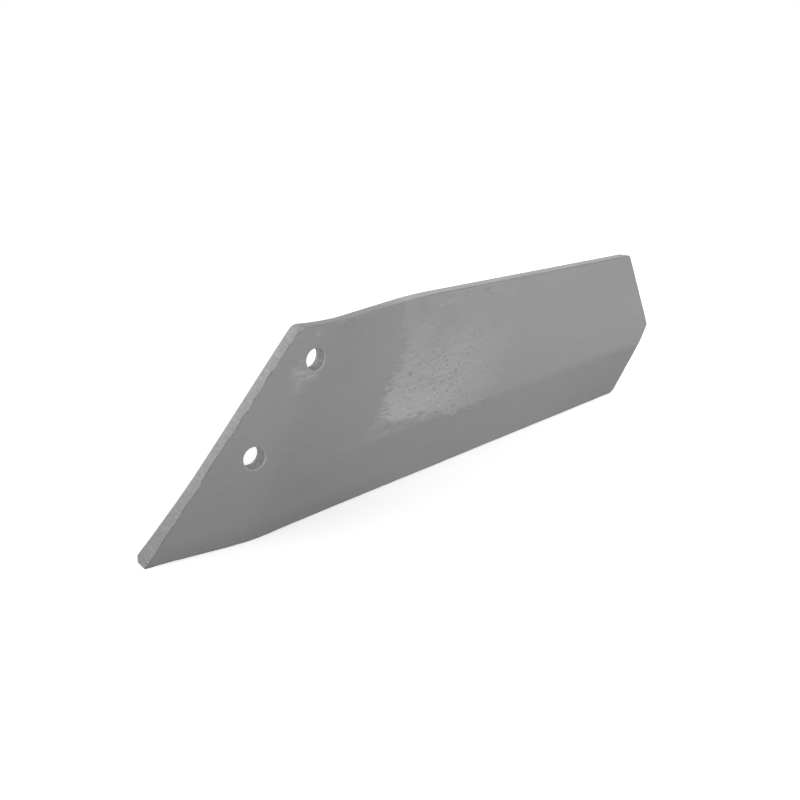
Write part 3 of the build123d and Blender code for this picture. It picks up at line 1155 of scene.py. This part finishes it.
@dataclass(frozen=True)
class Studio:
    """Plain pale floor, pale room and soft lamps, with lengths in metres."""

    WHITE = (1.0, 1.0, 1.0, 1.0)

    floor_half: float = 6.0
    floor_tone: float = 0.86
    floor_bounce: float = 0.45
    floor_glow: float = 0.46
    floor_clear: float = 1.10
    floor_roughness: float = 0.9
    room_light: float = 0.25
    lamps: tuple[SoftLamp, ...] = (
        SoftLamp("front_lamp", (-1.1, -1.5, 0.5), (0.15, 0.0, 0.0), 0.9, 21.0),
        SoftLamp("high_lamp", (0.15, 0.1, 2.0), (0.15, 0.0, 0.0), 1.1, 4.7),
        SoftLamp("right_lamp", (1.9, -0.9, 0.30), (0.25, 0.05, 0.0), 0.7, 8.7),
        SoftLamp("left_lamp", (-1.8, 0.3, 0.9), (0.0, 0.0, 0.0), 0.9, 8.6),
        SoftLamp("back_lamp", (0.1, 1.7, 0.30), (0.1, 0.0, 0.0), 0.9, 5.5),
    )

    def build(self, floor_height: float) -> bpy.types.Object:
        """Make the room, its lamps and the floor on which the share stands.

        Args:
            floor_height: height of the floor in metres.

        Returns:
            The floor's object.
        """
        self.light_room()
        for lamp in self.lamps:
            lamp.build()
            LOG.info("lamp %s of %.0f W", lamp.name, lamp.power)
        half = self.floor_half
        corners = [(-half, -half), (half, -half), (half, half), (-half, half)]
        mesh = bpy.data.meshes.new("studio_floor")
        mesh.from_pydata([(x, y, floor_height) for x, y in corners], [], [(0, 1, 2, 3)])
        mesh.update()
        mesh.materials.append(self.floor_material())
        return linked("studio_floor", mesh)

    def light_room(self) -> None:
        """Light the room evenly and dimly, and show it white to the camera and in gloss."""
        world = bpy.data.worlds.new("pale_room")
        world.use_nodes = True
        board = NodeBoard(world.node_tree)
        background = board.tree.nodes["Background"]
        board.put(background.inputs["Color"], self.WHITE)
        strength = board.ramp(board.seen(), (0.0, 1.0), self.room_light, 1.0, Easing.EVEN)
        board.put(background.inputs["Strength"], strength)
        bpy.context.scene.world = world

    def floor_material(self) -> bpy.types.Material:
        """Floor that is white to the camera and a plain pale grey to light that bounces.

        Its glow to the camera grows with the distance from the share, so the shadow stays near it.
        """
        material = bpy.data.materials.new("pale_floor")
        material.use_nodes = True
        board = NodeBoard(material.node_tree)
        shader = board.tree.nodes["Principled BSDF"]
        seen = board.seen()
        tone = board.node("ShaderNodeMix", data_type="RGBA")
        board.put(tone.inputs["Factor"], seen)
        board.put(tone.inputs["A"], (self.floor_bounce,) * 3 + (1.0,))
        board.put(tone.inputs["B"], (self.floor_tone,) * 3 + (1.0,))
        away = board.node("ShaderNodeVectorMath", operation="LENGTH")
        board.put(away.inputs[0], board.node("ShaderNodeTexCoord").outputs["Object"])
        reach = (0.0, self.floor_clear)
        level = board.ramp(away.outputs["Value"], reach, self.floor_glow, 1.0, Easing.EVEN)
        board.put(shader.inputs["Roughness"], self.floor_roughness)
        board.put(shader.inputs["Specular IOR Level"], 0.0)
        board.put(shader.inputs["Base Color"], tone.outputs["Result"])
        board.put(shader.inputs["Emission Color"], self.WHITE)
        board.put(shader.inputs["Emission Strength"], board.times(seen, level))
        return material


def new_group(
    name: str, inputs: dict[str, float], output: str
) -> tuple[NodeBoard, bpy.types.Node, bpy.types.Node]:
    """Start a shader node group with named numbers in and one named number out.

    Args:
        name: the group's name.
        inputs: names and usual values of its inputs.
        output: name of its output.

    Returns:
        Its board, and the nodes that hold its inputs and its output.
    """
    tree = bpy.data.node_groups.new(name, "ShaderNodeTree")
    for label, value in inputs.items():
        socket = tree.interface.new_socket(label, in_out="INPUT", socket_type="NodeSocketFloat")
        socket.default_value = value
    tree.interface.new_socket(output, in_out="OUTPUT", socket_type="NodeSocketFloat")
    board = NodeBoard(tree)
    return board, board.node("NodeGroupInput"), board.node("NodeGroupOutput")


def mottle_group() -> bpy.types.NodeTree:
    """Cloudy change of tone in a coat: a broad noise and a fine one, centred on one."""
    usual = {"Cloud Scale": Grain.CLOUD.scale, "Grain Scale": Grain.DUST.scale, "Strength": 0.06}
    cloud_share = 0.65
    board, given, out = new_group("coat_mottle", usual, "Tone")
    cloud = board.times(board.noise(Grain.CLOUD, given.outputs["Cloud Scale"]), cloud_share)
    grain = board.times(board.noise(Grain.DUST, given.outputs["Grain Scale"]), 1 - cloud_share)
    spread = board.times(board.centred(board.plus(cloud, grain)), given.outputs["Strength"])
    board.put(out.inputs["Tone"], board.plus(board.times(spread, 2.0), 1.0))
    return board.tree


def pit_group() -> bpy.types.NodeTree:
    """Small ragged scale pits: the tops of a fine noise, fewer where a broader noise is low."""
    usual = {"Scale": Grain.PIT.scale, "Worn": 0.0, "Rare": 0.61}
    field_lift, pit_rise = 0.35, 0.07
    board, given, out = new_group("scale_pits", usual, "Pit")
    fine = board.noise(Grain.PIT, given.outputs["Scale"])
    lift = board.times(board.centred(board.noise(Grain.PIT_FIELD)), field_lift)
    level = board.minus(given.outputs["Rare"], lift)
    dark = board.ramp(board.minus(fine, level), (0.0, pit_rise))
    board.put(out.inputs["Pit"], board.times(dark, given.outputs["Worn"]))
    return board.tree


def streak_group() -> bpy.types.NodeTree:
    """Fine streaks along the share: a noise that is long along X and short up it."""
    usual = {"Scale": Grain.STREAK.scale, "Sharpness": 0.14}
    board, given, out = new_group("rolling_streaks", usual, "Streak")
    lines = board.noise(Grain.STREAK, given.outputs["Scale"])
    sharp = given.outputs["Sharpness"]
    board.put(out.inputs["Streak"], board.ramp(lines, (board.minus(0.5, sharp), board.plus(0.5, sharp))))
    return board.tree


def edge_group() -> bpy.types.NodeTree:
    """Band along an edge, full at the edge and broken by a noise until it ends at the width: the mask of the
    painted shade along the front's borders.
    """
    usual = {"Distance": 5.0, "Width": 2.2, "Broken": 0.4}
    patch_span = (0.3, 0.7)
    board, given, out = new_group("edge_wear", usual, "Wear")
    width, broken = given.outputs["Width"], given.outputs["Broken"]
    reach = board.times(width, board.ramp(board.noise(Grain.EDGE_GAPS), patch_span))
    blend = board.plus(board.times(reach, broken), board.times(width, board.minus(1.0, broken)))
    board.put(out.inputs["Wear"], board.fade(given.outputs["Distance"], (0.0, blend)))
    return board.tree


@dataclass(frozen=True)
class CoatSpans:
    """Where each tone of the coat, painted light and shade among them, begins and where it is full or gone.

    The x and z spans are Object coordinates in metres. The others are the mesh's own numbers: distances
    in millimetres past the worn wing's start, above the ridge and above the wing's foot, the share of a
    sheared face for the arris, and a noise's values for gaps.
    """

    wing_start: Span = (-3.0, 4.5)
    wing_foot: Span = (-1.5, 2.0)
    patch_end: Span = (55.0, 150.0)
    patch_top: Span = (22.0, 75.0)
    rim_low: Span = (-4.0, -1.0)
    rim_high: Span = (3.0, 8.0)
    rim_start: Span = (-8.0, 4.0)
    rim_end: Span = (60.0, 110.0)
    top_z: Span = (0.033, 0.041)
    top_start: Span = (10.0, 30.0)
    top_end: Span = (90.0, 200.0)
    nose_x: Span = (-0.085, -0.076)
    high_wing_start: Span = (10.0, 40.0)
    high_wing_foot: Span = (25.0, 75.0)
    slope_start: Span = (-75.0, -35.0)
    slope_end: Span = (-6.0, 3.0)
    slope_z: Span = (-0.035, 0.02)
    start_low: Span = (-2.0, 2.0)
    start_high: Span = (8.0, 26.0)
    start_z: Span = (0.012, 0.035)
    strip_top: Span = (-3.0, 0.0)
    strip_start: Span = (-10.0, 30.0)
    sill_low: Span = (-6.0, 0.0)
    sill_high: Span = (8.0, 20.0)
    sill_start: Span = (-14.0, -2.0)
    sill_end: Span = (40.0, 90.0)
    tail_x: Span = (0.22, 0.44)
    flange_z: Span = (-0.075, 0.03)
    flange_x: Span = (0.02, 0.07)
    low_edge_z: Span = (-0.073, -0.061)
    low_edge_x: Span = (0.05, 0.12)
    upper_edge_z: Span = (0.04475, 0.0450)
    # Where the upper edge's painted sheen grows along X.
    upper_edge_painted_sheen_x: Span = (0.07, 0.15)
    arris_in: Span = (0.1, 0.4)
    arris_out: Span = (0.6, 0.95)
    arris_gaps: Span = (0.3, 0.6)
    scuff_gaps: Span = (0.35, 0.65)


@dataclass(frozen=True)
class SatinCoat:
    """Satin grey coat over hot-formed steel: its tone and gloss, how its wear changes them, and painted light
    and shade in its tone.
    """

    tone: float = 0.262
    roughness: float = 0.42
    mottle: float = 0.05
    streaks: float = 0.04
    # Painted sheen: the wing, and more so the worn patch at its start, are made paler for the light they
    # catch.
    wing_painted_sheen: float = 0.05
    patch_painted_sheen: float = 0.27
    # Painted light and shade over broad areas: the tone is lifted or lowered where the light falls
    # differently.
    high_wing_painted_shade: float = 0.10
    slope_painted_light: float = 0.10
    slope_painted_light_low: float = 0.1
    wing_start_painted_light: float = 0.14
    strip_painted_light: float = 0.05
    sill_painted_light: float = 0.11
    tail_painted_shade: float = 0.07
    tail_strip_painted_shade: float = 0.18
    flange_painted_light_and_shade: float = 0.20
    low_edge_painted_shade: float = 0.12
    scuff_light: float = 0.42
    scuff_gap_share: float = 0.7
    scuff_streak_share: float = 0.5
    pit_dark: float = 0.22
    top_worn: float = 0.6
    # Painted shade along the borders and at the sheared end's arris, and painted sheen on the upper edge over
    # the wing.
    border_painted_shade: float = 0.28
    upper_edge_painted_sheen: Span = (-0.06, 0.80)
    arris_painted_shade: float = 0.45
    # Painted shade on the holes' walls, specks on them, and a painted highlight on their front lips.
    wall_painted_shade: float = 0.04
    wall_speckle: float = 1.7
    lip_painted_highlight: float = 0.50
    drag_tone: float = 0.85
    shear_light: float = 0.20
    torn_start: float = 9.0
    torn_foot: float = 4.0
    gloss_change: float = 0.12
    patch_gloss: float = 0.06
    shear_rough: float = 0.10
    pit_rough: float = 0.20
    grain_depth: float = 0.010
    peel_depth: float = 0.050
    wrinkle_depth: float = 0.36
    streak_depth: float = 0.03
    pit_depth: float = 0.08
    cut_depth: float = 0.34
    spans: CoatSpans = CoatSpans()

    def material(self, groups: dict[str, bpy.types.NodeTree]) -> bpy.types.Material:
        """Make the coat's material.

        Args:
            groups: the shared effects by name.

        Returns:
            The material.
        """
        material = bpy.data.materials.new("satin_grey_coat")
        material.use_nodes = True
        board = NodeBoard(material.node_tree)
        shader = board.tree.nodes["Principled BSDF"]
        streak = board.effect(groups["streak"])
        rag = board.centred(streak)
        shear, wall = board.carried(Mask.SHEAR), board.carried(Mask.HOLE)
        dragged = board.times(board.centred(board.noise(Grain.DRAG)), shear)
        speckle = board.times(board.centred(board.noise(Grain.SPECKLE)), wall)
        wing, bright, worn = self.wing_sheen_and_wear(board, rag)
        pit = board.effect(groups["pit"], Worn=self.pitted(board, worn, wall, shear))
        # Mask of the painted shade along the front's borders.
        edge = board.effect(groups["edge"], Distance=board.carried(Mask.MARGIN))

        lifts = (
            (rag, self.streaks),
            # Painted sheen on the wing and, stronger, on the worn patch at its start.
            (wing, self.wing_painted_sheen),
            (bright, self.patch_painted_sheen),
            (pit, -self.pit_dark),
            (dragged, self.drag_tone),
            (shear, self.shear_light),
            # Painted shade on the holes' walls, specks on them, and a painted highlight on their front lips.
            (wall, -self.wall_painted_shade),
            (speckle, self.wall_speckle),
            (board.times(wall, board.minus(1.0, wall)), 4 * self.lip_painted_highlight),
            (self.scuffs(board, streak), self.scuff_light),
            *self.broad_painted_light(board),
            *self.border_painted_shade_and_sheen(board, edge, shear),
        )
        tone = board.times(board.effect(groups["mottle"], Strength=self.mottle), self.tone)
        for mask, strength in lifts:
            tone = board.times(tone, board.plus(1.0, board.times(mask, strength)))
        colour = board.node("ShaderNodeCombineColor")
        for channel in ("Red", "Green", "Blue"):
            board.put(colour.inputs[channel], tone)
        board.put(shader.inputs["Base Color"], colour.outputs["Color"])

        cloud = board.times(board.noise(Grain.GLOSS), self.gloss_change)
        rough = board.plus(self.roughness - self.gloss_change / 2, cloud)
        for mask, more in ((bright, -self.patch_gloss), (shear, self.shear_rough), (pit, self.pit_rough)):
            rough = board.plus(rough, board.times(mask, more), clamp=True)
        board.put(shader.inputs["Roughness"], rough)
        normal = self.relief(board, rag, board.plus(dragged, speckle), pit, worn)
        board.put(shader.inputs["Normal"], normal)
        board.put(shader.inputs["IOR"], 1.5)
        return material

    def wing_sheen_and_wear(self, board: NodeBoard, rag: Socket) -> tuple[Socket, Socket, Socket]:
        """Where the wing gets painted sheen, where its worn patch at the start gets more of it, and where it
        is wrinkled and pitted.

        Both borders of the sheen-painted wing are torn by the streaks along the share.

        Args:
            board: the material's board.
            rag: streaks, centred on none.

        Returns:
            The wing's painted sheen, the worn, glossier patch where it begins, which gets more painted sheen,
            and the pitted places.
        """
        s = self.spans
        past, over, foot = (board.carried(mask) for mask in (Mask.PATCH, Mask.RIDGE, Mask.FOOT))
        start = board.plus(past, board.times(rag, self.torn_start))
        low = board.plus(foot, board.times(rag, self.torn_foot))
        wing = board.times(board.ramp(start, s.wing_start), board.ramp(low, s.wing_foot))
        early = board.times(board.fade(past, s.patch_end), board.fade(over, s.patch_top))
        bright = board.times(wing, early)
        rim = board.times(board.ramp(foot, s.rim_low), board.fade(foot, s.rim_high))
        reach = board.times(board.ramp(past, s.rim_start), board.fade(past, s.rim_end))
        upper = board.times(
            board.ramp(board.place("Z"), s.top_z),
            board.ramp(past, s.top_start, end=self.top_worn),
            board.fade(past, s.top_end),
        )
        worn = board.most(board.times(rim, reach), bright)
        return wing, bright, board.most(worn, upper)

    def pitted(self, board: NodeBoard, worn: Socket, wall: Socket, shear: Socket) -> Socket:
        """Where pits show: on the worn wing, in the holes and on the nose's sheared face."""
        nose = board.times(board.fade(board.place("X"), self.spans.nose_x), shear)
        return board.most(worn, board.most(wall, nose))

    def broad_painted_light(self, board: NodeBoard) -> tuple[tuple[Socket, float], ...]:
        """Broad painted light and shade in the coat's tone, each with its strength.

        The slope before the wing, the wing's start and its foot, and the strip under the ridge get painted
        light.
        The wing gets painted shade towards the upper edge, and both the wing and the strip towards the tail.
        The flange gets painted light at its top and painted shade towards its lower edge.
        """
        s = self.spans
        past, over, foot = (board.carried(mask) for mask in (Mask.PATCH, Mask.RIDGE, Mask.FOOT))
        along, high = board.place("X"), board.place("Z")
        high_wing = board.times(board.ramp(past, s.high_wing_start), board.ramp(over, s.high_wing_foot))
        slope = board.times(
            board.ramp(past, s.slope_start),
            board.fade(past, s.slope_end),
            board.ramp(high, s.slope_z, start=self.slope_painted_light_low),
        )
        start = board.times(
            board.ramp(past, s.start_low), board.fade(past, s.start_high), board.ramp(high, s.start_z)
        )
        under = board.fade(over, s.strip_top)
        strip = board.times(under, board.ramp(past, s.strip_start))
        sill = board.times(
            board.ramp(foot, s.sill_low),
            board.fade(foot, s.sill_high),
            board.ramp(past, s.sill_start),
            board.fade(past, s.sill_end),
        )
        tail = board.ramp(along, s.tail_x)
        flange = board.times(board.centred(board.ramp(high, s.flange_z)), board.fade(along, s.flange_x))
        low_edge = board.times(board.fade(high, s.low_edge_z), board.fade(along, s.low_edge_x))
        return (
            # Painted light and shade over the slope, wing, strip, tail and flange.
            (high_wing, -self.high_wing_painted_shade),
            (slope, self.slope_painted_light),
            (start, self.wing_start_painted_light),
            (strip, self.strip_painted_light),
            (sill, self.sill_painted_light),
            (tail, -self.tail_painted_shade),
            (board.times(under, tail), -self.tail_strip_painted_shade),
            (flange, self.flange_painted_light_and_shade),
            (low_edge, -self.low_edge_painted_shade),
        )

    def border_painted_shade_and_sheen(
        self, board: NodeBoard, edge: Socket, shear: Socket
    ) -> tuple[tuple[Socket, float], ...]:
        """Painted shade along the front's borders and the sheared end's front arris, and painted sheen on the
        upper edge over the wing.
        """
        s = self.spans
        upper_edge = board.ramp(board.place("Z"), s.upper_edge_z)
        upper_edge_painted_sheen = board.times(upper_edge, board.ramp(board.place("X"), s.upper_edge_painted_sheen_x, *self.upper_edge_painted_sheen))
        plain = board.times(board.minus(1.0, shear), board.minus(1.0, upper_edge))
        arris = board.times(
            board.ramp(shear, s.arris_in),
            board.fade(shear, s.arris_out),
            board.ramp(board.noise(Grain.ARRIS_GAPS), s.arris_gaps),
        )
        return (board.times(edge, plain), -self.border_painted_shade), (upper_edge_painted_sheen, 1.0), (arris, -self.arris_painted_shade)

    def scuffs(self, board: NodeBoard, streak: Socket) -> Socket:
        """Rubbed spots, broken by the streaks and a noise."""
        gaps = board.times(
            board.ramp(board.noise(Grain.SCUFF_GAPS), self.spans.scuff_gaps), self.scuff_gap_share
        )
        broken = board.plus(gaps, board.times(streak, self.scuff_streak_share))
        return board.times(board.carried(Mask.SCUFF), broken)

    def relief(self, board: NodeBoard, rag: Socket, rough_cut: Socket, pit: Socket, worn: Socket) -> Socket:
        """Fine relief in millimetres: grain, orange peel, wrinkles and pits where worn, and sheared lines.

        Args:
            board: the material's board.
            rag: streaks along the share, centred on none.
            rough_cut: lines on the sheared faces and specks in the holes, centred on none.
            pit: pits.
            worn: how worn the place is.

        Returns:
            The shading normal.
        """
        parts = (
            (board.noise(Grain.FINE), self.grain_depth),
            (board.noise(Grain.PEEL), self.peel_depth),
            (board.times(board.centred(board.noise(Grain.WRINKLE)), worn), self.wrinkle_depth),
            (board.times(rag, worn), self.streak_depth),
            (pit, -self.pit_depth),
            (rough_cut, self.cut_depth),
        )
        height = 0.0
        for part, depth in parts:
            height = board.plus(board.times(part, depth), height)
        bump = board.node("ShaderNodeBump")
        board.put(bump.inputs["Strength"], 1.0)
        board.put(bump.inputs["Distance"], MM)
        board.put(bump.inputs["Height"], height)
        return bump.outputs["Normal"]


def dents() -> tuple[Dent, ...]:
    """The single dents that show in the front face: at the upper edge, by the hole and along the ridge.

    Each row gives a dent's run, height, radius and depth.
    """
    rows = (
        (116.0, 116.0, 7.0, 0.35),
        (131.0, 117.5, 6.0, 0.30),
        (104.0, 83.0, 5.0, 0.18),
        (173.6, 41.4, 2.0, 0.30),
        (186.0, 40.5, 2.2, 0.32),
        (205.0, 42.6, 2.0, 0.32),
        (210.0, 42.0, 2.4, 0.42),
        (218.0, 44.2, 2.2, 0.36),
    )
    return tuple(Dent(*row) for row in rows)


def scuffs() -> tuple[Scuff, ...]:
    """The rubbed spots that show on the front face, and then its dark marks.

    Each row gives a mark's run, height, half run, half height and strength.
    """
    rows = (
        (96.0, 93.5, 5.5, 3.5, 1.0),
        (103.5, 90.5, 5.0, 2.2, 0.9),
        (95.0, 86.0, 3.0, 3.5, 0.5),
        (98.5, 101.5, 3.0, 5.0, 0.35),
        (108.1, 115.4, 1.7, 1.7, 0.7),
        (235.0, 111.2, 3.5, 1.2, 0.5),
        (241.5, 112.4, 3.0, 1.2, 0.5),
        (209.5, 40.0, 5.0, 1.2, 0.5),
        (238.5, 109.2, 3.5, 1.2, -0.4),
        (247.0, 97.3, 2.5, 1.6, -0.4),
        (297.0, 77.6, 4.0, 1.6, -0.3),
        (342.0, 66.4, 4.0, 1.4, -0.3),
        (209.0, 66.7, 4.0, 2.2, -0.4),
        (221.0, 63.0, 4.0, 2.2, -0.4),
        (236.0, 60.0, 4.0, 1.8, -0.35),
        (244.0, 49.5, 3.5, 1.6, -0.3),
        (210.0, 42.2, 4.5, 1.3, -0.8),
        (218.0, 44.3, 4.0, 1.2, -0.6),
        (186.0, 40.6, 3.0, 1.2, -0.6),
        (173.6, 41.5, 2.5, 1.2, -0.6),
    )
    return tuple(Scuff(*row) for row in rows)


def main() -> None:
    """Build the camera, the studio, the share's plate and its coat, in this order."""
    logging.basicConfig(level=logging.INFO, format="%(name)s: %(message)s")
    sizes = BarSizes()
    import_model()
    PhotoCamera().build()
    floor = Studio().build(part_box(NODE)[0].z)
    groups = {"mottle": mottle_group(), "pit": pit_group(), "streak": streak_group(), "edge": edge_group()}
    plate = SharePlate(sizes, Wear(dents=dents(), scuffs=scuffs()), PlateDetail()).build()
    plate.data.materials.append(SatinCoat().material(groups))
    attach(plate, BODY)
    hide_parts(NODE)
    LOG.info("piece %s: %d faces", plate.name, len(plate.data.polygons))
    view = bpy.context.scene.view_settings
    view.view_transform = "Standard"


if __name__ == "__main__":
    main()
